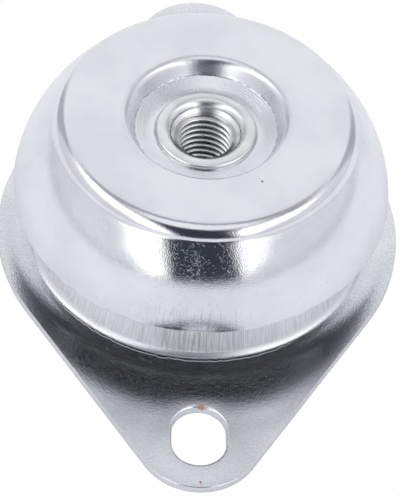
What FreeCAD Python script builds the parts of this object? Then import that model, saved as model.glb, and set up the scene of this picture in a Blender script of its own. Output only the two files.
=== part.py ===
# Bell-shaped anti-vibration mount: a pressed steel bell with a threaded bush in its top,
# carried by a rubber element on a rhombic steel base with two slots.
# Millimetres, +Z up. The origin is the centre of the underside, the ears lie along Y.
import FreeCAD, Part
import math
import os

# Base flange: sheet, outline and slots
base_sheet = 2.5
flat_land = 1.4
ear_centre = 69.5
ear_radius = 16.3
slot_half_width = 7.0
slot_length = 18.0
outline_roll = 0.5
slot_roll = 0.8

# Base flange: drawn collar in its middle, on a foot that flares up from the plate
flare_width = 4.5
flare_slope_deg = 12.0
flare_bend = 16.0
collar_foot_radius = 44.7
collar_foot_bend = 2.5
collar_height = 18.0
collar_taper_deg = 15.0
collar_top_bend_inside = 2.0
collar_hole_radius = 24.0

# Bell cover: sheet, rim and shoulder
bell_sheet = 2.0
rim_radius = 50.0
rim_height = 20.3
shoulder_radius = 40.0
crease_radius = 39.8
crease_height = 43.9

# Bell cover: flat top, its stepped edge and its dished middle
top_height = 47.0
step_taper_deg = 15.0
step_bend_inside = 1.8
dish_wall_depth = 4.1
dish_wall_taper_deg = 28.0
dish_mouth_bend_inside = 0.4
dish_foot_radius = 18.7
dish_foot_bend = 0.5
dish_seat_depth = 5.6
dish_seat_radius = 14.4

# Threaded bush: M16 x 2 at its minor radius, rolled lip, shoulder, barrel and riveted tail
thread_minor_radius = 6.917
lead_in_depth = 1.9
lip_radius = 13.4
lip_height = 1.1
lip_outer_round = 1.0
lip_inner_round = 2.5
lip_inner_lean = 0.6
mouth_radius = 9.1
mouth_drop = 0.6
neck_radius = 11.0
shoulder_radius_in_bell = 14.4
shoulder_thickness = 4.0
barrel_radius = 12.0
tail_radius = 9.5
tail_lead_in = 0.8
rivet_radius = 11.6
rivet_height = 0.9

# Rebound washer, held clear of the mounting surface
washer_radius = 32.0
washer_sheet = 3.0
washer_height = 5.4
washer_edge_round = 0.7

# Rubber element: waisted body above the collar, snubber between collar and washer
rubber_foot_radius = 38.0
rubber_top_radius = 34.0
rubber_waist = 3.5
snubber_radius = 29.0
snubber_taper = 2.0

# Heights and radii that follow from the sizes above
flare_grade = math.tan(math.radians(flare_slope_deg))
collar_grade = math.tan(math.radians(collar_taper_deg))
flare_radius = collar_foot_radius + flare_width
flare_join_radius = flare_radius + flare_bend * flare_grade
round_radius = flare_join_radius + flat_land
foot_rise = flare_width * flare_grade / (1 - flare_grade * collar_grade)
collar_top_radius = collar_foot_radius - (collar_height - base_sheet) * collar_grade
dish_foot_height = top_height - dish_wall_depth
dish_mouth_radius = dish_foot_radius + dish_wall_depth * math.tan(math.radians(dish_wall_taper_deg))
seat_height = top_height - dish_seat_depth
shoulder_top = seat_height - bell_sheet
shoulder_bottom = shoulder_top - shoulder_thickness
lip_top = seat_height + lip_height
mouth_height = seat_height - mouth_drop
washer_top = washer_height + washer_sheet
rivet_bottom = washer_height - rivet_height

UP = FreeCAD.Vector(0, 0, 1)
ORIGIN = FreeCAD.Vector(0, 0, 0)
FULL_TURN = 360
TOUCH = 0.001


def section_point(radius, height):
    """Point of a half section, in the XZ plane."""
    return FreeCAD.Vector(radius, 0, height)


def bent_edges(corners, closed):
    """Lines through (radius, height, bend) corners, with each bend a tangent arc."""
    points = [section_point(radius, height) for radius, height, _ in corners]
    count = len(corners)
    entries = list(points)
    exits = list(points)
    edges = []
    for i, (_, _, bend) in enumerate(corners):
        if bend > 0:
            back = (points[i - 1] - points[i]).normalize()
            ahead = (points[(i + 1) % count] - points[i]).normalize()
            half = back.getAngle(ahead) / 2
            reach = bend / math.tan(half)
            middle = (back + ahead).normalize()
            entries[i] = points[i] + back * reach
            exits[i] = points[i] + ahead * reach
            crown = points[i] + middle * (bend / math.sin(half) - bend)
            edges.append(Part.Arc(entries[i], crown, exits[i]).toShape())
    for i in range(count if closed else count - 1):
        edges.append(Part.LineSegment(exits[i], entries[(i + 1) % count]).toShape())
    return Part.__sortEdges__(edges)


def turned(edges):
    """Solid of revolution about Z from the edges of a closed half section."""
    face = Part.Face(Part.Wire(Part.__sortEdges__(edges)))
    return face.revolve(ORIGIN, UP, FULL_TURN)


def pressed(edges, sheet):
    """Sheet of revolution under an open path of its upper face, which runs outwards from the axis."""
    face = Part.Wire(edges).makeOffset2D(-sheet, fill=True, openResult=True)
    return face.revolve(ORIGIN, UP, FULL_TURN)


def flank_arc(start, end, bow):
    """Arc from start to end that bows by the given height, to the left of the way it runs."""
    chord = end - start
    left = FreeCAD.Vector(-chord.z, 0, chord.x).normalize()
    return Part.Arc(start, start + chord * 0.5 + left * bow, end).toShape()


def bell_cover():
    step_run = (top_height - crease_height) * math.tan(math.radians(step_taper_deg))
    crease = section_point(crease_radius, crease_height)
    rim = section_point(rim_radius, rim_height)
    half_chord = (rim - crease).Length / 2
    bulge = shoulder_radius - math.sqrt(shoulder_radius**2 - half_chord**2)
    path = bent_edges(
        [
            (neck_radius, seat_height, 0),
            (dish_seat_radius, seat_height, 0),
            (dish_foot_radius, dish_foot_height, dish_foot_bend),
            (dish_mouth_radius, top_height, dish_mouth_bend_inside + bell_sheet),
            (crease_radius - step_run, top_height, step_bend_inside + bell_sheet),
            (crease_radius, crease_height, 0),
        ],
        False,
    )
    path.append(flank_arc(crease, rim, bulge))
    return pressed(path, bell_sheet)


def threaded_bush():
    corners = [
        (thread_minor_radius + tail_lead_in, rivet_bottom, 0),
        (rivet_radius, rivet_bottom, rivet_height / 2),
        (rivet_radius, washer_height, 0),
        (tail_radius, washer_height, 0),
        (tail_radius, washer_top, 0),
        (barrel_radius, washer_top, 0),
        (barrel_radius, shoulder_bottom, 0),
        (shoulder_radius_in_bell, shoulder_bottom, 0),
        (shoulder_radius_in_bell, shoulder_top, 0),
        (neck_radius, shoulder_top, 0),
        (neck_radius, seat_height, 0),
        (lip_radius, seat_height, 0),
        (lip_radius, lip_top, lip_outer_round),
        (mouth_radius + lip_inner_lean, lip_top, lip_inner_round),
        (mouth_radius, mouth_height, 0),
        (thread_minor_radius, mouth_height - lead_in_depth, 0),
        (thread_minor_radius, rivet_bottom + tail_lead_in, 0),
    ]
    return turned(bent_edges(corners, True))


def rebound_washer():
    corners = [
        (tail_radius, washer_height, 0),
        (washer_radius, washer_height, washer_edge_round),
        (washer_radius, washer_top, washer_edge_round),
        (tail_radius, washer_top, 0),
    ]
    return turned(bent_edges(corners, True))


def outline(height):
    """Rhombic outline: a large round between two ears, joined by tangents."""
    lean = math.asin((round_radius - ear_radius) / ear_centre)
    across = math.cos(lean)
    along = math.sin(lean)

    def tangent_point(radius, centre, x_side, y_side):
        y = y_side * (centre + radius * along)
        return FreeCAD.Vector(x_side * radius * across, y, height)

    edges = []
    for side in (1, -1):
        flank = FreeCAD.Vector(side * round_radius, 0, height)
        tip = FreeCAD.Vector(0, side * (ear_centre + ear_radius), height)
        upper = tangent_point(round_radius, 0, side, 1)
        lower = tangent_point(round_radius, 0, side, -1)
        ear_right = tangent_point(ear_radius, ear_centre, 1, side)
        ear_left = tangent_point(ear_radius, ear_centre, -1, side)
        edges.append(Part.Arc(lower, flank, upper).toShape())
        edges.append(Part.Arc(ear_right, tip, ear_left).toShape())
        for end in (1, -1):
            ear = tangent_point(ear_radius, ear_centre, side, end)
            start = tangent_point(round_radius, 0, side, end)
            edges.append(Part.LineSegment(start, ear).toShape())
    return Part.Wire(Part.__sortEdges__(edges))


def slot_cutter(side):
    """Through slot of one ear, long along Y."""
    straight = slot_length - 2 * slot_half_width
    corner = FreeCAD.Vector(-slot_half_width, side * ear_centre - straight / 2, 0)
    cutter = Part.makeBox(2 * slot_half_width, straight, base_sheet, corner)
    for end in (1, -1):
        centre = FreeCAD.Vector(0, side * ear_centre + end * straight / 2, 0)
        cutter = cutter.fuse(Part.makeCylinder(slot_half_width, base_sheet, centre))
    return cutter.removeSplitter()


def base_plate():
    """Flat part of the base flange, outside the flare."""
    plate = Part.Face(outline(0)).extrude(UP * base_sheet)
    lower_rim = [e for e in plate.Edges if e.BoundBox.ZMax < TOUCH]
    plate = plate.makeFillet(outline_roll, lower_rim)
    plate = plate.cut(Part.makeCylinder(flare_join_radius, base_sheet))
    for side in (1, -1):
        plate = plate.cut(slot_cutter(side))
    slot_reach = ear_centre + slot_length / 2
    slot_mouth = [
        e
        for e in plate.Edges
        if e.BoundBox.ZMin > base_sheet - TOUCH
        and e.BoundBox.XLength < 2 * slot_half_width + TOUCH
        and abs(e.CenterOfMass.x) < slot_half_width + TOUCH
        and max(abs(e.BoundBox.YMin), abs(e.BoundBox.YMax)) < slot_reach + TOUCH
    ]
    return plate.makeFillet(slot_roll, slot_mouth)


def base_flange():
    foot_radius = collar_foot_radius - foot_rise * collar_grade
    path = bent_edges(
        [
            (collar_hole_radius, collar_height, 0),
            (collar_top_radius, collar_height, collar_top_bend_inside + base_sheet),
            (foot_radius, base_sheet + foot_rise, collar_foot_bend),
            (flare_radius, base_sheet, flare_bend),
            (flare_join_radius, base_sheet, 0),
        ],
        False,
    )
    collar = pressed(path, base_sheet)
    return base_plate().fuse(collar).removeSplitter()


def rubber_element(neighbours):
    """Rubber from the bell's underside to the collar, and through the collar to the washer."""
    half_bell_sheet = bell_sheet / 2
    bond_in_collar = collar_height - base_sheet / 2
    foot = section_point(rubber_foot_radius, collar_height)
    top = section_point(rubber_top_radius, top_height - bell_sheet)
    chain = [
        foot,
        section_point(rubber_foot_radius, bond_in_collar),
        section_point(snubber_radius, bond_in_collar),
        section_point(snubber_radius, collar_height - base_sheet),
        section_point(snubber_radius - snubber_taper, washer_top),
        section_point(barrel_radius, washer_top),
        section_point(barrel_radius, seat_height - half_bell_sheet),
        section_point(dish_seat_radius, seat_height - half_bell_sheet),
        section_point(dish_foot_radius, dish_foot_height - half_bell_sheet),
        section_point(dish_mouth_radius, top_height - half_bell_sheet),
        section_point(rubber_top_radius, top_height - half_bell_sheet),
        top,
    ]
    edges = [Part.LineSegment(a, b).toShape() for a, b in zip(chain, chain[1:])]
    edges.append(flank_arc(top, foot, -rubber_waist))
    return turned(edges).cut(neighbours)


def main():
    bell = bell_cover()
    bush = threaded_bush()
    washer = rebound_washer()
    base = base_flange()
    pieces = {
        "bell_cover": bell,
        "threaded_bush": bush,
        "rebound_washer": washer,
        "base_flange": base,
        "rubber_element": rubber_element([bell, bush, base]),
    }
    os.makedirs("parts", exist_ok=True)
    for name, shape in pieces.items():
        shape.exportStep("parts/" + name + ".step")


main()
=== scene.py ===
import math

import bmesh
import bpy
from mathutils import Matrix, Vector, geometry


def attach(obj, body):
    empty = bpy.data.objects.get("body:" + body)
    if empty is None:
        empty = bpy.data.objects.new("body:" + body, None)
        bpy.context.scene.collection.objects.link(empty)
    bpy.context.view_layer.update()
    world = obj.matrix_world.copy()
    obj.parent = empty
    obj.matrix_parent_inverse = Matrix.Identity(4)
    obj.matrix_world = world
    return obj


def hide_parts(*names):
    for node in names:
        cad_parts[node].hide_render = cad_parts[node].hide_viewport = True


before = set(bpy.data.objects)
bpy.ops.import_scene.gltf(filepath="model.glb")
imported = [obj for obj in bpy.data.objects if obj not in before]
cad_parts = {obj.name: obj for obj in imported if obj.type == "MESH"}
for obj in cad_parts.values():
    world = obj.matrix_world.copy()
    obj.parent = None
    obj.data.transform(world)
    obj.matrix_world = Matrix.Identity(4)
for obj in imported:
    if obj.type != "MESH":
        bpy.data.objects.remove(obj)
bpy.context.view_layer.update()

MM = 0.001

# Base flange
BASE_SHEET = 2.5
FLAT_LAND = 1.4
EAR_CENTRE = 69.5
EAR_RADIUS = 16.3
SLOT_HALF_WIDTH = 7.0
SLOT_LENGTH = 18.0
OUTLINE_ROLL = 0.5
EDGE_BREAK = 0.12
SLOT_ROLL = 0.8
COLLAR_FOOT_RADIUS = 44.7
COLLAR_FOOT_BEND = 2.5
COLLAR_HEIGHT = 18.0
COLLAR_TAPER = math.radians(15.0)
COLLAR_TOP_BEND_INSIDE = 2.0
COLLAR_HOLE_RADIUS = 24.0
FLARE_WIDTH = 4.5
FLARE_SLOPE = math.radians(12.0)
FLARE_BEND = 16.0
COLLAR_FINISH_RISE = 2.0

# Bell cover
BELL_SHEET = 2.0
RIM_RADIUS = 50.0
RIM_HEIGHT = 20.3
SHOULDER_RADIUS = 40.0
CREASE_RADIUS = 39.8
CREASE_HEIGHT = 43.9
TOP_HEIGHT = 47.0
STEP_TAPER = math.radians(15.0)
STEP_BEND_INSIDE = 1.8
DISH_WALL_DEPTH = 4.1
DISH_WALL_TAPER = math.radians(28.0)
DISH_MOUTH_BEND_INSIDE = 0.4
DISH_FOOT_RADIUS = 18.7
DISH_FOOT_BEND = 0.5
DISH_SEAT_DEPTH = 5.6
DISH_SEAT_RADIUS = 14.4

# Threaded bush, M16 x 2
THREAD_PITCH = 2.0
THREAD_MINOR_RADIUS = 6.917
THREAD_MAJOR_RADIUS = 8.0
LEAD_IN_DEPTH = 1.9
LIP_RADIUS = 13.4
LIP_HEIGHT = 1.1
LIP_OUTER_ROUND = 1.0
LIP_INNER_ROUND = 2.5
LIP_INNER_LEAN = 0.6
MOUTH_RADIUS = 9.1
MOUTH_DROP = 0.6
NECK_RADIUS = 11.0
SHOULDER_IN_BELL = 14.4
SHOULDER_THICKNESS = 4.0
BARREL_RADIUS = 12.0
TAIL_RADIUS = 9.5
TAIL_LEAD_IN = 0.8
RIVET_RADIUS = 11.6
RIVET_HEIGHT = 0.9

# Rebound washer and rubber
WASHER_RADIUS = 32.0
WASHER_SHEET = 3.0
WASHER_HEIGHT = 5.4
WASHER_EDGE_ROUND = 0.7
RUBBER_FOOT_RADIUS = 38.0
RUBBER_TOP_RADIUS = 34.0
RUBBER_WAIST = 3.5
SNUBBER_RADIUS = 29.0
SNUBBER_TAPER = 2.0

DISH_FOOT_HEIGHT = TOP_HEIGHT - DISH_WALL_DEPTH
DISH_MOUTH_RADIUS = DISH_FOOT_RADIUS + DISH_WALL_DEPTH * math.tan(DISH_WALL_TAPER)
SEAT_HEIGHT = TOP_HEIGHT - DISH_SEAT_DEPTH
LIP_TOP = SEAT_HEIGHT + LIP_HEIGHT
MOUTH_HEIGHT = SEAT_HEIGHT - MOUTH_DROP
SHOULDER_TOP = SEAT_HEIGHT - BELL_SHEET
SHOULDER_BOTTOM = SHOULDER_TOP - SHOULDER_THICKNESS
WASHER_TOP = WASHER_HEIGHT + WASHER_SHEET
RIVET_BOTTOM = WASHER_HEIGHT - RIVET_HEIGHT
COLLAR_TOP_RADIUS = COLLAR_FOOT_RADIUS - (COLLAR_HEIGHT - BASE_SHEET) * math.tan(COLLAR_TAPER)
FLARE_RADIUS = COLLAR_FOOT_RADIUS + FLARE_WIDTH
FLARE_JOIN_RADIUS = FLARE_RADIUS + FLARE_BEND * math.tan(FLARE_SLOPE)
ROUND_RADIUS = FLARE_JOIN_RADIUS + FLAT_LAND
COLLAR_FINISH_START = BASE_SHEET + COLLAR_FINISH_RISE

# Fineness of the meshes: steps of arcs, longest stretches in millimetres, the weld in metres
TURN_STEPS = 288
BEND_STEPS = 10
SHOULDER_STEPS = 40
WAIST_STEPS = 16
ROUND_STEPS = 40
EAR_STEPS = 48
SLOT_END_STEPS = 40
ROLL_STEPS = 5
ROWS_PER_PITCH = 16
BELL_STRETCH = 1.5
COLLAR_STRETCH = 1.0
OUTLINE_STRETCH = 2.0
FLAT_TOLERANCE = 1e-5
SHARP_ANGLE = math.radians(38)
WELD = 1e-7

# Camera: where the photograph was taken from. The aim point is the middle of the plate's upper face.
PHOTO_WIDTH = 400
PHOTO_HEIGHT = 496
SENSOR = 36.0
VIEW_ELEVATION = math.radians(49.9)
VIEW_AZIMUTH = math.radians(-4.24)
VIEW_ROLL = math.radians(5.07)
VIEW_DISTANCE = 787.4
VIEW_FOCAL_PIXELS = 2905.9
AIM_PIXEL_X = 197.45
AIM_PIXEL_Y = 228.14
CLIP_START = 0.01

# Studio: a pale tent on a white table, with a bright panel on each side of the camera. Between the panels
# a dark gap runs from the camera's side up over the mount. The tent has darker sides, two posts behind, a
# darker roof and a pale zenith. Azimuth 0 is the camera's side, and FOOT and HEAD are elevations, all in
# radians. The middle, lean and half width of the gap, and the reach of the panels' legs, are shares of a unit
# direction, to the right. Diffuse rays get the boost's share of light on top.
FLOOR_HALF = 1.5
FLOOR_GAP = 0.0002
FLOOR_ROUGHNESS = 0.6
FLOOR_COLOUR = (0.76, 0.76, 0.775, 1.0)
TENT_COLOUR = (0.95, 0.955, 0.975, 1.0)
ZENITH_COLOUR = (1.00, 1.005, 1.02, 1.0)
DIFFUSE_BOOST = 0.60
SIDE_COLOUR = (0.82, 0.825, 0.85, 1.0)
SIDE_REACH = math.radians(116)
SIDE_HEAD = math.radians(35)
HORIZON_COLOUR = (0.60, 0.605, 0.63, 1.0)
HORIZON_FOOT = -0.05
POST_COLOUR = (0.50, 0.505, 0.54, 1.0)
POST_AZIMUTH = math.radians(132)
POST_HALF_WIDTH = math.radians(13)
POST_HEAD = math.radians(48)
ROOF_COLOUR = (0.42, 0.425, 0.46, 1.0)
ROOF_FOOT = math.radians(56)
ROOF_HEAD = math.radians(71)
GAP_COLOUR = (0.040, 0.045, 0.065, 1.0)
GAP_MIDDLE = 0.128
GAP_LEAN = -0.18
GAP_HALF_WIDTH = 0.348
GAP_FOOT = math.radians(2.5)
GAP_HEAD = math.radians(64)
LEG_REACH = 0.66
LEG_REACH_AT_FOOT = 0.50
LEG_ROUND_HEAD = math.radians(16)
PANEL_COLOUR = (1.60, 1.60, 1.62, 1.0)
PANEL_LEFT_END = math.radians(-125)
PANEL_RIGHT_END = math.radians(98)
PANEL_FOOT = math.radians(30)
PANEL_FOOT_AZIMUTH = math.radians(60)
PANEL_FOOT_SLOPE = 0.3
PANEL_HEAD = math.radians(65)


def bent_path(corners, closed=False):
    """Points of (radius, height, bend) corners joined by lines, with each bend an arc."""
    points = [Vector((r, z)) for r, z, _ in corners]
    count = len(points)
    path = []
    for i, (_, _, bend) in enumerate(corners):
        here = points[i]
        inner = closed or 0 < i < count - 1
        if bend <= 0 or not inner:
            path.append(here)
            continue
        back = (points[i - 1] - here).normalized()
        ahead = (points[(i + 1) % count] - here).normalized()
        half = back.angle(ahead) / 2
        reach = bend / math.tan(half)
        start = here + back * reach
        end = here + ahead * reach
        centre = here + (back + ahead).normalized() * (bend / math.sin(half))
        sweep = (start - centre).angle(end - centre)
        for k in range(BEND_STEPS + 1):
            share = k / BEND_STEPS
            a = math.sin((1 - share) * sweep) / math.sin(sweep)
            b = math.sin(share * sweep) / math.sin(sweep)
            path.append(centre + (start - centre) * a + (end - centre) * b)
    return path


def bowed_line(start, end, bow, steps):
    """Points of an arc from start to end that bows to the left by the given height."""
    chord = end - start
    left = Vector((-chord.y, chord.x)).normalized()
    half = chord.length / 2
    radius = (half**2 + bow**2) / (2 * abs(bow))
    side = math.copysign(1, bow)
    centre = start + chord * 0.5 + left * (bow - side * radius)
    begin = start - centre
    sweep = -side * 2 * math.asin(half / radius)
    points = []
    for k in range(steps + 1):
        angle = sweep * k / steps
        turned = Vector(
            (
                begin.x * math.cos(angle) - begin.y * math.sin(angle),
                begin.x * math.sin(angle) + begin.y * math.cos(angle),
            )
        )
        points.append(centre + turned)
    return points


def offset_path(path, distance):
    """The path moved sideways, to its right, by the same distance everywhere."""
    moved = []
    last = len(path) - 1
    for i, here in enumerate(path):
        along = (path[min(i + 1, last)] - path[max(i - 1, 0)]).normalized()
        moved.append(here + Vector((along.y, -along.x)) * distance)
    return moved


def refined(path, longest):
    """The path with its long stretches divided."""
    out = [path[0]]
    for a, b in zip(path, path[1:]):
        parts = max(1, math.ceil((b - a).length / longest))
        out += [a.lerp(b, k / parts) for k in range(1, parts + 1)]
    return out


def finish_mesh(name, bm, materials, node):
    """Welds and smooths a mesh and makes it the piece that stands for a CAD node."""
    bmesh.ops.remove_doubles(bm, verts=bm.verts, dist=WELD)
    bmesh.ops.dissolve_degenerate(bm, dist=WELD, edges=bm.edges)
    bmesh.ops.recalc_face_normals(bm, faces=bm.faces)
    mesh = bpy.data.meshes.new(name)
    bm.to_mesh(mesh)
    bm.free()
    mesh.shade_smooth()
    mesh.set_sharp_from_angle(angle=SHARP_ANGLE)
    for material in materials:
        mesh.materials.append(material)
    piece = bpy.data.objects.new(name, mesh)
    bpy.context.scene.collection.objects.link(piece)
    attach(piece, "root")
    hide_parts(node)
    return piece


def add_turned(bm, path, closed=False):
    """Adds a surface of revolution about Z of the given half section."""
    rings = []
    for r, z in path:
        ring = []
        for i in range(TURN_STEPS):
            angle = 2 * math.pi * i / TURN_STEPS
            ring.append(bm.verts.new(Vector((r * math.cos(angle), r * math.sin(angle), z)) * MM))
        rings.append(ring)
    pairs = list(zip(rings, rings[1:]))
    if closed:
        pairs.append((rings[-1], rings[0]))
    for low, high in pairs:
        for i in range(TURN_STEPS):
            j = (i + 1) % TURN_STEPS
            bm.faces.new((low[i], low[j], high[j], high[i]))


class Nodes:
    """Short forms for building the nodes of one material, or of the world."""

    def __init__(self, name="", tree=None, output="Material"):
        if tree is None:
            self.material = bpy.data.materials.new(name)
            self.material.use_nodes = True
            tree = self.material.node_tree
        self.tree = tree
        self.tree.nodes.clear()
        self.output = self.node("Output" + output)
        self.position = self.node("TexCoord").outputs["Object"]

    def node(self, kind, settings=None, **inputs):
        made = self.tree.nodes.new("ShaderNode" + kind)
        for key, value in (settings or {}).items():
            setattr(made, key, value)
        for key, value in inputs.items():
            self.put(made, key.replace("_", " "), value)
        return made

    def put(self, node, key, value):
        socket = node.inputs[int(key[1:])] if key[0] == "i" and key[1:].isdigit() else node.inputs[key]
        if isinstance(value, bpy.types.NodeSocket):
            self.tree.links.new(value, socket)
        else:
            socket.default_value = value

    def math(self, operation, a, b=0.0, c=0.0):
        return self.node("Math", {"operation": operation}, i0=a, i1=b, i2=c).outputs[0]

    def scaled(self, vector, factors):
        return self.node("VectorMath", {"operation": "MULTIPLY"}, i0=vector, i1=factors).outputs[0]

    def total(self, first, *others):
        for other in others:
            first = self.math("ADD", first, other)
        return first

    def product(self, first, *others):
        for other in others:
            first = self.math("MULTIPLY", first, other)
        return first

    def noise(self, vector, scale, detail):
        return self.node("TexNoise", Vector=vector, Scale=scale, Detail=detail).outputs["Fac"]

    def voronoi(self, vector, scale):
        return self.node("TexVoronoi", Vector=vector, Scale=scale).outputs["Distance"]

    def remap(self, value, low, high, to_low=0.0, to_high=1.0):
        made = self.node("MapRange", {"interpolation_type": "SMOOTHSTEP"}, Value=value)
        for key, number in (("From Min", low), ("From Max", high), ("To Min", to_low), ("To Max", to_high)):
            made.inputs[key].default_value = number
        return made.outputs["Result"]

    def rise(self, value, edge, soft):
        """Zero below the edge and one above it, with a soft step between."""
        return self.remap(value, edge - soft, edge + soft)

    def fall(self, value, edge, soft):
        """One below the edge and zero above it, with a soft step between."""
        return self.remap(value, edge - soft, edge + soft, 1.0, 0.0)

    def band(self, value, low, high, soft):
        """One between the two limits and zero outside, with soft edges."""
        return self.product(self.rise(value, low, soft), self.fall(value, high, soft))

    def mix(self, factor, a, b):
        made = self.node("Mix", {"data_type": "RGBA"})
        self.put(made, "i0", factor)
        self.put(made, "i6", a)
        self.put(made, "i7", b)
        return made.outputs[2]

    def stain(self, colour, mask, amount, other):
        """The colour with another one over it, where the mask is, and as strong as amount."""
        return self.mix(self.product(mask, amount), colour, other)

    def bump(self, height, strength, distance, normal=None):
        made = self.node("Bump", Height=height, Strength=strength, Distance=distance)
        if normal is not None:
            self.put(made, "Normal", normal)
        return made.outputs["Normal"]

    def surface(self, **inputs):
        shader = self.node("BsdfPrincipled")
        for key, value in inputs.items():
            self.put(shader, key.replace("_", " "), value)
        self.tree.links.new(shader.outputs[0], self.output.inputs["Surface"])
        return self.material


# Colours of the metal and of what is on it
ZINC_TINT = (0.80, 0.81, 0.845, 1.0)
ZINC_SHADE = (0.74, 0.75, 0.79, 1.0)
# Dark colour of dirt, drawing marks and flaked plating, also laid on as painted shade in the dish's crease,
# round the bush's lip, beside the collar's foot and on the thread
ZINC_DIRT_AND_PAINTED_SHADE = (0.36, 0.35, 0.36, 1.0)
# Collar zinc, painted lighter than the plate's zinc of the same sheet, as painted light on the collar under
# the bell
COLLAR_TINT_PAINTED_LIGHTER = (0.93, 0.935, 0.95, 1.0)
BUSH_TINT = (0.82, 0.83, 0.83, 1.0)
BUSH_SHADE = (0.74, 0.76, 0.76, 1.0)
RUST_TINT = (0.30, 0.13, 0.06, 1.0)
PIT_BLACK = (0.02, 0.02, 0.02, 1.0)
RUBBER_DARK = (0.018, 0.021, 0.032, 1.0)
RUBBER_PALE = (0.032, 0.037, 0.054, 1.0)

# Marks on the metal: places and sizes in millimetres, and the stretch of the scratches' noise
BELL_RUST = (34.4, -28.6, 41.5)
BELL_RUST_RADIUS = 0.5
TOP_PIT = (13.9, -21.6, TOP_HEIGHT)
TOP_PIT_RADIUS = 0.28
SLOT_RUST = (0.6, -(EAR_CENTRE - SLOT_LENGTH / 2), BASE_SHEET)
SLOT_RUST_RADIUS = 1.5
EAR_RUST = (0.3, -84.2, BASE_SHEET)
EAR_RUST_RADIUS = 0.5
CRACK_RADIUS = COLLAR_FOOT_RADIUS + 1.4
CRACK_HALF_WIDTH = 0.10
CRACK_WAVER = 0.25
CRACK_LEFT_END = -36.0
CRACK_RIGHT_END = 22.0
SKIRT_HEIGHT = 7.0
SCRATCH_ANGLES = (math.radians(38), math.radians(-44), math.radians(8))
SCRATCH_ALONG = 0.75
SCRATCH_ACROSS = 8.0

# The camera's side of the mount is where y is below this, and it fades in over this much each way
FRONT_MIDDLE = -5.0
FRONT_SOFT = 5.0

# The radius at which streaks have their stated spacing, and the least radius that anything is divided by
STREAK_RADIUS = 46.0
AXIS_GUARD = 0.01


class Place:
    """Where the shaded point lies on the mount, in millimetres, and patterns that start from there."""

    def __init__(self, n):
        self.n = n
        self.point = n.scaled(n.position, (1 / MM, 1 / MM, 1 / MM))
        self.x, self.y, self.z = n.node("SeparateXYZ", Vector=self.point).outputs
        self.radius = n.math("SQRT", n.total(n.product(self.x, self.x), n.product(self.y, self.y)))
        inverse = n.math("DIVIDE", 1.0, n.math("MAXIMUM", self.radius, AXIS_GUARD))
        self.cos = n.product(self.x, inverse)
        self.sin = n.product(self.y, inverse)
        self.front = n.fall(self.y, FRONT_MIDDLE, FRONT_SOFT)

    def patches(self, scale, low, high, detail=2.0):
        """Uneven cover: none where a noise is under low, and full where it is over high."""
        return self.n.remap(self.n.noise(self.point, scale, detail), low, high)

    def specks(self, scale, core, edge):
        """Scattered round specks, full out to core and gone at edge, both in cells of the scale."""
        return self.n.remap(self.n.voronoi(self.point, scale), core, edge, 1.0, 0.0)

    def spot(self, centre, radius, ragged=0.4):
        """Ragged round patch about a point."""
        n = self.n
        away = n.node("VectorMath", {"operation": "DISTANCE"}, i0=self.point, i1=centre).outputs["Value"]
        rough = n.product(n.noise(self.point, scale=1.6, detail=3.0), 2 * ragged * radius)
        return n.remap(n.total(away, rough), radius * 0.9, radius * (1.1 + ragged), 1.0, 0.0)

    def streaks(self, spacing, length, low, high):
        """Fine lines that run up and down a round wall. Low and high say how much of it they cover."""
        n = self.n
        scale = STREAK_RADIUS / spacing
        cell = n.node("CombineXYZ", X=self.cos, Y=self.sin, Z=n.product(self.z, 1 / (scale * length)))
        return n.remap(n.noise(cell.outputs[0], scale, 1.0), low, high)

    def dashes(self, angle, amount):
        """Short straight scratches at one angle, on a wall that faces the front. Amount adds more."""
        n = self.n
        along = n.total(n.product(self.x, math.cos(angle)), n.product(self.z, math.sin(angle)))
        across = n.total(n.product(self.z, math.cos(angle)), n.product(self.x, -math.sin(angle)))
        along = n.product(along, SCRATCH_ALONG)
        across = n.product(across, SCRATCH_ACROSS)
        cell = n.node("CombineXYZ", X=along, Y=across, Z=angle)
        return n.remap(n.total(n.noise(cell.outputs[0], 1.0, 0.0), amount), 0.79, 0.87)


def bell_scratches(n, p):
    """Scratches at several angles, dense on the shoulder and faint above it."""
    amount = n.remap(n.noise(p.point, scale=0.22, detail=2.0), 0.35, 0.65, 0.0, 0.08)
    scratches = p.dashes(SCRATCH_ANGLES[0], amount)
    for angle in SCRATCH_ANGLES[1:]:
        scratches = n.math("MAXIMUM", scratches, p.dashes(angle, amount))
    shoulder = n.fall(p.z, CREASE_HEIGHT, soft=0.4)
    return n.product(scratches, n.total(n.product(shoulder, 0.9), 0.1))


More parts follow.
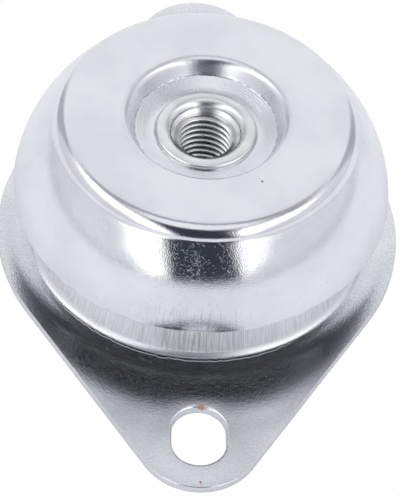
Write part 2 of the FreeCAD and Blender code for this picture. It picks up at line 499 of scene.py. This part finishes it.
def bell_stains(n, p, colour, skirt):
    """The colour with the bell's dark marks, flaked plating, rust spot and pit laid over it, and painted
    shade in the dish's crease and round the bush's lip.
    """
    near_front = n.band(p.x, -15.0, 12.0, soft=4.0)
    drawn = n.product(p.streaks(spacing=0.32, length=6.0, low=0.56, high=0.70), skirt, near_front, p.front)
    colour = n.stain(colour, drawn, 0.45, ZINC_DIRT_AND_PAINTED_SHADE)
    # Painted shade: a dark line in the crease at the foot of the dish wall, and a painted contact shadow
    # round the bush's lip on the dish seat
    painted_crease_shade = n.band(p.radius, DISH_FOOT_RADIUS - 0.10, DISH_FOOT_RADIUS + 0.12, soft=0.06)
    painted_crease_shade = n.product(painted_crease_shade, p.patches(scale=0.7, low=0.42, high=0.56))
    painted_lip_shadow = n.band(p.radius, LIP_RADIUS, LIP_RADIUS + 0.22, soft=0.1)
    painted_lip_shadow = n.product(painted_lip_shadow, p.patches(scale=0.35, low=0.35, high=0.6))
    colour = n.stain(colour, n.math("MAXIMUM", painted_crease_shade, painted_lip_shadow), 0.75, ZINC_DIRT_AND_PAINTED_SHADE)
    burr = n.band(p.z, RIM_HEIGHT + 0.45, RIM_HEIGHT + 0.70, soft=0.12)
    burr = n.product(burr, n.band(p.x, -9.0, 4.0, soft=3.0), p.front)
    colour = n.stain(colour, burr, 0.8, ZINC_DIRT_AND_PAINTED_SHADE)
    above_rim = n.band(p.z, RIM_HEIGHT + 0.5, RIM_HEIGHT + 4.5, soft=0.6)
    to_left = n.remap(p.x, -14.0, -24.0)
    uneven = p.patches(scale=0.3, low=0.48, high=0.6, detail=1.0)
    flaked = n.product(p.specks(scale=0.9, core=0.10, edge=0.20), above_rim, to_left, uneven, p.front)
    colour = n.stain(colour, flaked, 0.7, ZINC_DIRT_AND_PAINTED_SHADE)
    rim_line = n.band(p.z, RIM_HEIGHT + 0.15, RIM_HEIGHT + 0.40, soft=0.1)
    rim_line = n.product(rim_line, p.patches(scale=0.25, low=0.42, high=0.58))
    colour = n.stain(colour, rim_line, 0.55, ZINC_DIRT_AND_PAINTED_SHADE)
    colour = n.mix(p.spot(BELL_RUST, BELL_RUST_RADIUS), colour, RUST_TINT)
    return n.mix(p.spot(TOP_PIT, TOP_PIT_RADIUS, ragged=0.1), colour, PIT_BLACK)


def bell_zinc():
    """Bright plating: polished shoulder with fine scratches, rough dish wall, drawing marks near the rim."""
    n = Nodes("bell_zinc")
    p = Place(n)
    cloud = n.noise(p.point, scale=0.06, detail=3.0)
    speck = n.noise(p.point, scale=3.0, detail=1.0)
    rings = n.noise(n.node("CombineXYZ", X=p.radius).outputs[0], 1.6, 2.0)
    wall = n.band(p.radius, DISH_SEAT_RADIUS, DISH_MOUTH_RADIUS + 1.6, soft=0.5)
    dish = n.fall(p.radius, DISH_FOOT_RADIUS, soft=0.5)
    skirt = n.band(p.z, RIM_HEIGHT, RIM_HEIGHT + SKIRT_HEIGHT, soft=1.5)
    scratches = bell_scratches(n, p)
    colour = n.mix(n.remap(cloud, 0.35, 0.65), ZINC_TINT, ZINC_SHADE)
    colour = bell_stains(n, p, colour, skirt)
    roughness = n.total(
        n.remap(cloud, 0.3, 0.7, 0.10, 0.14),
        n.product(wall, 0.14),
        n.product(skirt, 0.10),
        n.product(scratches, 0.14),
    )
    fine = n.bump(speck, strength=n.remap(wall, 0.0, 1.0, 0.6, 1.0), distance=0.00004)
    turned = n.bump(n.product(rings, dish), strength=1.0, distance=0.00006, normal=fine)
    scored = n.bump(n.product(scratches, -1.0), strength=1.0, distance=0.000008, normal=turned)
    return n.surface(Base_Color=colour, Metallic=1.0, Roughness=roughness, Normal=scored)


def foot_crack(n, p):
    """Cracked line in the plating round the collar's foot, and the dark shade inside it."""
    around = n.node("CombineXYZ", X=p.cos, Y=p.sin).outputs[0]
    waver = n.remap(n.noise(around, scale=26.0, detail=3.0), 0.2, 0.8, -CRACK_WAVER, CRACK_WAVER)
    radius = n.total(p.radius, waver)
    upper = n.rise(p.z, BASE_SHEET - 0.25, soft=0.05)
    shown = n.product(upper, p.front, n.band(p.x, CRACK_LEFT_END, CRACK_RIGHT_END, soft=6.0))
    crack = n.band(radius, CRACK_RADIUS - CRACK_HALF_WIDTH, CRACK_RADIUS + CRACK_HALF_WIDTH, soft=0.06)
    shade = n.band(radius, CRACK_RADIUS - 0.75, CRACK_RADIUS - 0.2, soft=0.2)
    return n.product(crack, shown), n.product(shade, shown)


def base_zinc():
    """Plating of the plate: fine sparkling grain, a cracked line round the foot, rust at a slot."""
    n = Nodes("base_zinc")
    p = Place(n)
    cloud = n.noise(p.point, scale=0.05, detail=3.0)
    grain = n.noise(p.point, scale=1.9, detail=1.0)
    crack, shade = foot_crack(n, p)
    at_foot = n.band(p.radius, 42.0, 48.5, soft=1.0)
    to_left = n.remap(p.x, -12.0, -26.0)
    uneven = p.patches(scale=0.35, low=0.45, high=0.6, detail=1.0)
    flaked = n.product(p.specks(scale=1.1, core=0.10, edge=0.22), at_foot, to_left, p.front, uneven)
    sparks = p.specks(scale=1.3, core=0.10, edge=0.26)
    sparks = n.product(sparks, p.patches(scale=1.9, low=0.5, high=0.62, detail=0.0))
    rust = n.math("MAXIMUM", p.spot(SLOT_RUST, SLOT_RUST_RADIUS), p.spot(EAR_RUST, EAR_RUST_RADIUS))
    colour = n.mix(n.remap(cloud, 0.35, 0.65), ZINC_TINT, ZINC_SHADE)
    colour = n.mix(n.remap(grain, 0.35, 0.65, 0.0, 0.10), colour, ZINC_DIRT_AND_PAINTED_SHADE)
    # Painted shadow: a dark band on the plate between the collar's foot and the crack
    colour = n.stain(colour, shade, 0.55, ZINC_DIRT_AND_PAINTED_SHADE)
    colour = n.stain(colour, flaked, 0.8, ZINC_DIRT_AND_PAINTED_SHADE)
    colour = n.stain(colour, rust, 0.8, RUST_TINT)
    roughness = n.total(
        n.remap(cloud, 0.3, 0.7, 0.18, 0.22),
        n.product(n.rise(p.z, BASE_SHEET + 1.1, soft=0.5), 0.20),
        n.product(crack, 0.3),
        n.product(rust, 0.4),
    )
    dull = n.total(
        n.remap(grain, 0.40, 0.62, 0.0, 0.08),
        n.product(sparks, 0.18),
        n.product(crack, 0.45),
        n.product(rust, 0.6),
    )
    metallic = n.math("SUBTRACT", 1.0, dull)
    fine = n.bump(grain, strength=1.0, distance=0.000025)
    return n.surface(Base_Color=colour, Metallic=metallic, Roughness=roughness, Normal=fine)


def collar_zinc():
    """Drawn wall of the collar, with fine upright scores and darker streaks that are strongest to the front,
    on a zinc colour painted lighter than the plate's as painted light.
    """
    n = Nodes("collar_zinc")
    p = Place(n)
    near_front = n.product(n.band(p.x, -9.0, 3.0, soft=5.0), p.front)
    near_front = n.remap(near_front, 0.0, 1.0, 0.4, 1.0)
    scores = p.streaks(spacing=0.30, length=12.0, low=0.35, high=0.65)
    # Darker streaks, strongest at the front of the collar
    dark_streaks = n.product(p.streaks(spacing=0.35, length=9.0, low=0.50, high=0.62), near_front)
    # The collar's colour is painted lighter than the plate's zinc, standing in for light on the collar under
    # the bell
    colour = n.stain(COLLAR_TINT_PAINTED_LIGHTER, dark_streaks, 0.6, ZINC_DIRT_AND_PAINTED_SHADE)
    relief = n.bump(scores, strength=1.0, distance=0.00004)
    return n.surface(Base_Color=colour, Metallic=0.85, Roughness=0.40, Anisotropic=0.9, Normal=relief)


def turned_zinc():
    """Plated turned steel of the bush and washer, duller than the sheet, with painted shade on each thread
    flank.
    """
    n = Nodes("turned_zinc")
    p = Place(n)
    cloud = n.noise(p.point, scale=0.12, detail=3.0)
    rings = n.noise(n.node("CombineXYZ", X=p.radius, Y=p.z).outputs[0], 3.0, 2.0)
    # Painted shade: the thread between crest and root is darkened, as if only the crests caught the light
    past_crest = n.rise(p.radius, THREAD_MINOR_RADIUS + 0.30, soft=0.15)
    before_root = n.fall(p.radius, THREAD_MAJOR_RADIUS + 0.15, soft=0.10)
    painted_flank_shade = n.product(past_crest, before_root)
    colour = n.mix(n.remap(cloud, 0.35, 0.65), BUSH_TINT, BUSH_SHADE)
    colour = n.stain(colour, painted_flank_shade, 0.6, ZINC_DIRT_AND_PAINTED_SHADE)
    roughness = n.remap(cloud, 0.3, 0.7, 0.24, 0.32)
    fine = n.bump(n.noise(p.point, scale=3.0, detail=1.0), strength=0.6, distance=0.00002)
    turned = n.bump(rings, strength=0.5, distance=0.00004, normal=fine)
    return n.surface(Base_Color=colour, Metallic=1.0, Roughness=roughness, Normal=turned)


def rubber_material():
    """Matt black rubber, a little cloudy."""
    n = Nodes("black_rubber")
    p = Place(n)
    cloud = n.noise(p.point, scale=0.09, detail=4.0)
    colour = n.mix(cloud, RUBBER_DARK, RUBBER_PALE)
    relief = n.bump(n.noise(p.point, scale=1.4, detail=3.0), strength=0.5, distance=0.00008)
    return n.surface(Base_Color=colour, Roughness=0.72, Normal=relief)


def bell_outer_path():
    """Outer half section of the bell, from the bush out to the rim."""
    step_run = (TOP_HEIGHT - CREASE_HEIGHT) * math.tan(STEP_TAPER)
    crease = Vector((CREASE_RADIUS, CREASE_HEIGHT))
    rim = Vector((RIM_RADIUS, RIM_HEIGHT))
    half_chord = (rim - crease).length / 2
    bulge = SHOULDER_RADIUS - math.sqrt(SHOULDER_RADIUS**2 - half_chord**2)
    corners = [
        (NECK_RADIUS, SEAT_HEIGHT, 0),
        (DISH_SEAT_RADIUS, SEAT_HEIGHT, 0),
        (DISH_FOOT_RADIUS, DISH_FOOT_HEIGHT, DISH_FOOT_BEND),
        (DISH_MOUTH_RADIUS, TOP_HEIGHT, DISH_MOUTH_BEND_INSIDE + BELL_SHEET),
        (CREASE_RADIUS - step_run, TOP_HEIGHT, STEP_BEND_INSIDE + BELL_SHEET),
        (CREASE_RADIUS, CREASE_HEIGHT, 0),
    ]
    top = refined(bent_path(corners), BELL_STRETCH)
    return top + bowed_line(crease, rim, bulge, SHOULDER_STEPS)[1:]


def bell_cover(material):
    outer = bell_outer_path()
    inner = offset_path(outer, BELL_SHEET)
    inner.reverse()
    bm = bmesh.new()
    add_turned(bm, outer + inner, closed=True)
    return finish_mesh("bell_shell", bm, [material], "bell_cover")


def thread_radius(turns):
    """Wall radius of an internal 60 degree thread, by its place in the pitch."""
    place = abs((turns % 1.0) - 0.5) * 2
    crest = 0.25
    root = 1 - 0.125
    share = min(1.0, max(0.0, (place - crest) / (root - crest)))
    return THREAD_MINOR_RADIUS + (THREAD_MAJOR_RADIUS - THREAD_MINOR_RADIUS) * share


def add_thread(bm):
    """Helical wall of the bush, run out into the cones at both mouths."""
    rows = math.ceil((MOUTH_HEIGHT - RIVET_BOTTOM) / THREAD_PITCH + 2) * ROWS_PER_PITCH
    tail_mouth = THREAD_MINOR_RADIUS + TAIL_LEAD_IN
    lead_in_slope = (MOUTH_RADIUS - THREAD_MINOR_RADIUS) / LEAD_IN_DEPTH
    grid = []
    for k in range(rows + 1):
        ring = []
        pitches = k / ROWS_PER_PITCH
        for i in range(TURN_STEPS + 1):
            turn = i / TURN_STEPS
            z = RIVET_BOTTOM + THREAD_PITCH * (pitches + turn - 1)
            z = min(max(z, RIVET_BOTTOM), MOUTH_HEIGHT)
            top_cone = MOUTH_RADIUS - (MOUTH_HEIGHT - z) * lead_in_slope
            tail_cone = tail_mouth - (z - RIVET_BOTTOM)
            radius = max(thread_radius(pitches), top_cone, tail_cone)
            if z == RIVET_BOTTOM:
                radius = tail_mouth
            if z == MOUTH_HEIGHT:
                radius = MOUTH_RADIUS
            angle = 2 * math.pi * (i % TURN_STEPS) / TURN_STEPS
            ring.append(bm.verts.new(Vector((radius * math.cos(angle), radius * math.sin(angle), z)) * MM))
        grid.append(ring)
    for low_ring, high_ring in zip(grid, grid[1:]):
        for i in range(TURN_STEPS):
            bm.faces.new((low_ring[i], low_ring[i + 1], high_ring[i + 1], high_ring[i]))


def threaded_bush(material):
    corners = [
        (THREAD_MINOR_RADIUS + TAIL_LEAD_IN, RIVET_BOTTOM, 0),
        (RIVET_RADIUS, RIVET_BOTTOM, RIVET_HEIGHT / 2),
        (RIVET_RADIUS, WASHER_HEIGHT, 0),
        (TAIL_RADIUS, WASHER_HEIGHT, 0),
        (TAIL_RADIUS, WASHER_TOP, 0),
        (BARREL_RADIUS, WASHER_TOP, 0),
        (BARREL_RADIUS, SHOULDER_BOTTOM, 0),
        (SHOULDER_IN_BELL, SHOULDER_BOTTOM, 0),
        (SHOULDER_IN_BELL, SHOULDER_TOP, 0),
        (NECK_RADIUS, SHOULDER_TOP, 0),
        (NECK_RADIUS, SEAT_HEIGHT, 0),
        (LIP_RADIUS, SEAT_HEIGHT, 0),
        (LIP_RADIUS, LIP_TOP, LIP_OUTER_ROUND),
        (MOUTH_RADIUS + LIP_INNER_LEAN, LIP_TOP, LIP_INNER_ROUND),
        (MOUTH_RADIUS, MOUTH_HEIGHT, 0),
    ]
    bm = bmesh.new()
    add_turned(bm, bent_path(corners))
    add_thread(bm)
    return finish_mesh("bush_with_thread", bm, [material], "threaded_bush")


def rebound_washer(material):
    corners = [
        (TAIL_RADIUS, WASHER_HEIGHT, 0),
        (WASHER_RADIUS, WASHER_HEIGHT, WASHER_EDGE_ROUND),
        (WASHER_RADIUS, WASHER_TOP, WASHER_EDGE_ROUND),
        (TAIL_RADIUS, WASHER_TOP, 0),
    ]
    bm = bmesh.new()
    add_turned(bm, bent_path(corners, closed=True), closed=True)
    return finish_mesh("washer_ring", bm, [material], "rebound_washer")


def rubber_element(material):
    foot = Vector((RUBBER_FOOT_RADIUS, COLLAR_HEIGHT))
    top = Vector((RUBBER_TOP_RADIUS, TOP_HEIGHT - BELL_SHEET))
    path = [
        Vector((BARREL_RADIUS, WASHER_TOP)),
        Vector((SNUBBER_RADIUS - SNUBBER_TAPER, WASHER_TOP)),
        Vector((SNUBBER_RADIUS, COLLAR_HEIGHT - BASE_SHEET)),
        Vector((COLLAR_HOLE_RADIUS, COLLAR_HEIGHT - BASE_SHEET)),
        Vector((COLLAR_HOLE_RADIUS, COLLAR_HEIGHT)),
    ]
    path += bowed_line(foot, top, RUBBER_WAIST, WAIST_STEPS)
    path.append(Vector((DISH_MOUTH_RADIUS, TOP_HEIGHT - BELL_SHEET)))
    path.append(Vector((DISH_FOOT_RADIUS, DISH_FOOT_HEIGHT - BELL_SHEET)))
    path.append(Vector((DISH_SEAT_RADIUS, SHOULDER_TOP)))
    path.append(Vector((DISH_SEAT_RADIUS, SHOULDER_BOTTOM)))
    path.append(Vector((BARREL_RADIUS, SHOULDER_BOTTOM)))
    bm = bmesh.new()
    add_turned(bm, path, closed=True)
    return finish_mesh("rubber_block", bm, [material], "rubber_element")


def outline_loop(inset, height):
    """Rhombic outline of the base, moved inwards by inset."""
    lean = math.asin((ROUND_RADIUS - EAR_RADIUS) / EAR_CENTRE)
    arcs = [
        (0.0, ROUND_RADIUS, -lean, lean, ROUND_STEPS),
        (EAR_CENTRE, EAR_RADIUS, lean, math.pi - lean, EAR_STEPS),
        (0.0, ROUND_RADIUS, math.pi - lean, math.pi + lean, ROUND_STEPS),
        (-EAR_CENTRE, EAR_RADIUS, math.pi + lean, 2 * math.pi - lean, EAR_STEPS),
    ]
    points = []
    for centre, radius, start, end, steps in arcs:
        for k in range(steps + 1):
            angle = start + (end - start) * k / steps
            reach = radius - inset
            points.append(Vector((reach * math.cos(angle), centre + reach * math.sin(angle), height)))
    dense = []
    for a, b in zip(points, points[1:] + points[:1]):
        parts = max(1, round((b - a).length / OUTLINE_STRETCH))
        dense += [a.lerp(b, k / parts) for k in range(parts)]
    return dense


def slot_loop(side, growth, height):
    """Edge of one slot, moved outwards by growth."""
    straight = SLOT_LENGTH - 2 * SLOT_HALF_WIDTH
    radius = SLOT_HALF_WIDTH + growth
    points = []
    for end, start in ((1, 0.0), (-1, math.pi)):
        for k in range(SLOT_END_STEPS + 1):
            angle = start + math.pi * k / SLOT_END_STEPS
            y = side * EAR_CENTRE + end * straight / 2 + radius * math.sin(angle)
            points.append(Vector((radius * math.cos(angle), y, height)))
    return points


def add_band(bm, loops):
    """Closed strip between loops that have the same number of points."""
    made = [[bm.verts.new(p * MM) for p in loop] for loop in loops]
    for a, b in zip(made, made[1:]):
        for i in range(len(a)):
            j = (i + 1) % len(a)
            bm.faces.new((a[i], a[j], b[j], b[i]))


def inside(point, loop):
    """Whether a point lies inside a closed loop, seen from above."""
    odd = False
    for a, b in zip(loop, loop[1:] + loop[:1]):
        if (a.y > point.y) != (b.y > point.y):
            if point.x < a.x + (b.x - a.x) * (point.y - a.y) / (b.y - a.y):
                odd = not odd
    return odd


def add_flat(bm, outer, holes, height):
    """Triangulated flat face between an outer loop and its holes."""
    loops = [outer] + holes
    points = []
    edges = []
    for loop in loops:
        first = len(points)
        points += [Vector((p.x, p.y)) for p in loop]
        edges += [(first + i, first + (i + 1) % len(loop)) for i in range(len(loop))]
    result = geometry.delaunay_2d_cdt(points, edges, [], 0, FLAT_TOLERANCE)
    verts = [bm.verts.new(Vector((p.x, p.y, height)) * MM) for p in result[0]]
    for tri in result[2]:
        middle = sum((result[0][i] for i in tri), Vector((0, 0))) / len(tri)
        if inside(middle, outer) and not any(inside(middle, hole) for hole in holes):
            bm.faces.new([verts[i] for i in tri])


def quarter_roll(radius):
    """(inset, drop) pairs of a quarter round, from the flat face to the upright wall."""
    angles = [math.pi / 2 * k / ROLL_STEPS for k in range(ROLL_STEPS + 1)]
    return [(radius * (1 - math.sin(a)), radius * (1 - math.cos(a))) for a in angles]


def base_flange(plate_material, collar_material):
    bm = bmesh.new()
    rise = FLARE_WIDTH * math.tan(FLARE_SLOPE)
    rise /= 1 - math.tan(FLARE_SLOPE) * math.tan(COLLAR_TAPER)
    corners = [
        (COLLAR_HOLE_RADIUS, COLLAR_HEIGHT, 0),
        (COLLAR_TOP_RADIUS, COLLAR_HEIGHT, COLLAR_TOP_BEND_INSIDE + BASE_SHEET),
        (COLLAR_FOOT_RADIUS - rise * math.tan(COLLAR_TAPER), BASE_SHEET + rise, COLLAR_FOOT_BEND),
        (FLARE_RADIUS, BASE_SHEET, FLARE_BEND),
        (FLARE_JOIN_RADIUS, BASE_SHEET, 0),
    ]
    upper = refined(bent_path(corners), COLLAR_STRETCH)
    lower = offset_path(upper, BASE_SHEET)
    lower.reverse()
    add_turned(bm, upper)
    add_turned(bm, lower)
    add_turned(bm, [lower[-1], upper[0]])
    join = [
        Vector((FLARE_JOIN_RADIUS * math.cos(a), FLARE_JOIN_RADIUS * math.sin(a), 0))
        for a in (2 * math.pi * i / TURN_STEPS for i in range(TURN_STEPS))
    ]
    roll = quarter_roll(OUTLINE_ROLL)
    walls = [outline_loop(EDGE_BREAK, BASE_SHEET), outline_loop(0, BASE_SHEET - EDGE_BREAK)]
    walls += [outline_loop(inset, drop) for inset, drop in reversed(roll)]
    add_band(bm, walls)
    for side in (1, -1):
        rolled = [slot_loop(side, inset, BASE_SHEET - drop) for inset, drop in quarter_roll(SLOT_ROLL)]
        add_band(bm, rolled + [slot_loop(side, 0, 0)])
    upper_slots = [slot_loop(side, SLOT_ROLL, 0) for side in (1, -1)]
    lower_slots = [slot_loop(side, 0, 0) for side in (1, -1)]
    add_flat(bm, outline_loop(EDGE_BREAK, 0), [join] + upper_slots, BASE_SHEET)
    add_flat(bm, outline_loop(OUTLINE_ROLL, 0), [join] + lower_slots, 0)
    for face in bm.faces:
        if face.calc_center_median().z > COLLAR_FINISH_START * MM:
            face.material_index = 1
    return finish_mesh("slotted_base", bm, [plate_material, collar_material], "base_flange")


def add_camera():
    back = Vector(
        (
            math.sin(VIEW_AZIMUTH) * math.cos(VIEW_ELEVATION),
            -math.cos(VIEW_AZIMUTH) * math.cos(VIEW_ELEVATION),
            math.sin(VIEW_ELEVATION),
        )
    )
    level = Vector((math.cos(VIEW_AZIMUTH), math.sin(VIEW_AZIMUTH), 0))
    upright = back.cross(level)
    right = level * math.cos(VIEW_ROLL) + upright * math.sin(VIEW_ROLL)
    up = upright * math.cos(VIEW_ROLL) - level * math.sin(VIEW_ROLL)
    scale = VIEW_DISTANCE / VIEW_FOCAL_PIXELS
    aim = Vector((0, 0, BASE_SHEET))
    place = aim + back * VIEW_DISTANCE
    place -= right * (AIM_PIXEL_X - PHOTO_WIDTH / 2) * scale
    place += up * (AIM_PIXEL_Y - PHOTO_HEIGHT / 2) * scale
    data = bpy.data.cameras.new("photo_camera")
    data.sensor_width = SENSOR
    data.lens = SENSOR * VIEW_FOCAL_PIXELS / PHOTO_HEIGHT
    data.clip_start = CLIP_START
    camera = bpy.data.objects.new("photo_camera", data)
    bpy.context.scene.collection.objects.link(camera)
    turn = Matrix((right, up, back)).transposed().to_4x4()
    camera.matrix_world = Matrix.Translation(place * MM) @ turn
    bpy.context.scene.camera = camera


def studio_way(azimuth, elevation):
    """Unit direction of a place in the studio. Azimuth 0 is the camera's side and grows to the right."""
    turn = VIEW_AZIMUTH + azimuth
    return Vector(
        (
            math.sin(turn) * math.cos(elevation),
            -math.cos(turn) * math.cos(elevation),
            math.sin(elevation),
        )
    )


def add_floor():
    """White table that the camera sees as pure white and the zinc as a lit surface."""
    bm = bmesh.new()
    bmesh.ops.create_grid(bm, x_segments=1, y_segments=1, size=FLOOR_HALF)
    mesh = bpy.data.meshes.new("floor")
    bm.to_mesh(mesh)
    bm.free()
    n = Nodes("white_table")
    seen = n.node("LightPath").outputs["Is Camera Ray"]
    table = n.node("BsdfPrincipled", Base_Color=FLOOR_COLOUR, Roughness=FLOOR_ROUGHNESS)
    glow = n.node("Emission", Color=(1.0, 1.0, 1.0, 1.0), Strength=1.0)
    mixed = n.node("MixShader", i0=seen, i1=table.outputs[0], i2=glow.outputs[0])
    n.tree.links.new(mixed.outputs[0], n.output.inputs["Surface"])
    mesh.materials.append(n.material)
    floor = bpy.data.objects.new("floor", mesh)
    floor.location = (0, 0, -FLOOR_GAP)
    bpy.context.scene.collection.objects.link(floor)


def tent_colour(n, elevation, aside):
    """Colour of the tent round the mount, without the panels and the gap."""
    forward = n.fall(aside, SIDE_REACH, soft=0.07)
    side = n.product(forward, n.fall(elevation, SIDE_HEAD, soft=0.1))
    horizon = n.product(forward, n.band(elevation, HORIZON_FOOT, GAP_FOOT, soft=0.01))
    posts = n.band(aside, POST_AZIMUTH - POST_HALF_WIDTH, POST_AZIMUTH + POST_HALF_WIDTH, soft=0.1)
    posts = n.product(posts, n.fall(elevation, POST_HEAD, soft=0.06))
    colour = n.mix(side, TENT_COLOUR, SIDE_COLOUR)
    colour = n.mix(horizon, colour, HORIZON_COLOUR)
    colour = n.mix(posts, colour, POST_COLOUR)
    colour = n.mix(n.band(elevation, ROOF_FOOT, ROOF_HEAD, soft=0.04), colour, ROOF_COLOUR)
    return n.mix(n.rise(elevation, ROOF_HEAD + 0.02, soft=0.04), colour, ZENITH_COLOUR)


def studio_colour(n, way):
    """Colour of the studio in one direction from the mount."""
    parts = []
    for axis in (studio_way(0, 0), studio_way(math.pi / 2, 0), Vector((0, 0, 1))):
        parts.append(n.node("VectorMath", {"operation": "DOT_PRODUCT"}, i0=way, i1=axis).outputs["Value"])
    ahead, right, high = parts
    elevation = n.math("ARCSINE", high)
    azimuth = n.math("ARCTAN2", right, ahead)
    aside = n.math("ABSOLUTE", azimuth)
    colour = tent_colour(n, elevation, aside)

    gap_middle = n.math("MULTIPLY_ADD", high, GAP_LEAN, GAP_MIDDLE)
    off_middle = n.math("ABSOLUTE", n.math("SUBTRACT", right, gap_middle))
    past_edge = n.math("SUBTRACT", off_middle, GAP_HALF_WIDTH)
    above_foot = n.rise(elevation, GAP_FOOT, soft=0.03)
    before = n.rise(ahead, 0.05, soft=0.05)
    below_gap_head = n.fall(elevation, GAP_HEAD, soft=0.05)
    gap = n.product(n.fall(past_edge, -0.01, soft=0.02), above_foot, before, below_gap_head)

    outward = n.math("ABSOLUTE", right)
    reach = n.remap(elevation, GAP_FOOT, LEG_ROUND_HEAD, LEG_REACH_AT_FOOT, LEG_REACH)
    legs = n.product(n.fall(n.math("SUBTRACT", outward, reach), -0.01, soft=0.04), above_foot, before)
    slope_start = PANEL_FOOT - PANEL_FOOT_SLOPE * PANEL_FOOT_AZIMUTH
    foot = n.math("MULTIPLY_ADD", aside, PANEL_FOOT_SLOPE, slope_start)
    above = n.rise(n.math("SUBTRACT", elevation, foot), 0.0, soft=0.05)
    wings = n.product(above, n.band(azimuth, PANEL_LEFT_END, PANEL_RIGHT_END, soft=0.06))
    below_head = n.fall(elevation, PANEL_HEAD, soft=0.05)
    panel = n.product(n.math("MAXIMUM", legs, wings), below_head, n.rise(past_edge, 0.01, soft=0.02))
    return n.mix(gap, n.mix(panel, colour, PANEL_COLOUR), GAP_COLOUR)


def add_world():
    """Light of the studio for everything but the camera, which sees white."""
    world = bpy.data.worlds.new("studio")
    bpy.context.scene.world = world
    world.use_nodes = True
    n = Nodes(tree=world.node_tree, output="World")
    colour = studio_colour(n, n.node("TexCoord").outputs["Generated"])
    light_path = n.node("LightPath")
    strength = n.math("MULTIPLY_ADD", light_path.outputs["Is Diffuse Ray"], DIFFUSE_BOOST, 1.0)
    studio = n.node("Background", Color=colour, Strength=strength)
    white = n.node("Background", Color=(1.0, 1.0, 1.0, 1.0))
    seen = light_path.outputs["Is Camera Ray"]
    mixed = n.node("MixShader", i0=seen, i1=studio.outputs[0], i2=white.outputs[0])
    n.tree.links.new(mixed.outputs[0], n.output.inputs["Surface"])


def main():
    bpy.context.scene.view_settings.view_transform = "Standard"
    turned = turned_zinc()
    bell_cover(bell_zinc())
    threaded_bush(turned)
    rebound_washer(turned)
    rubber_element(rubber_material())
    base_flange(base_zinc(), collar_zinc())
    add_camera()
    add_floor()
    add_world()


main()
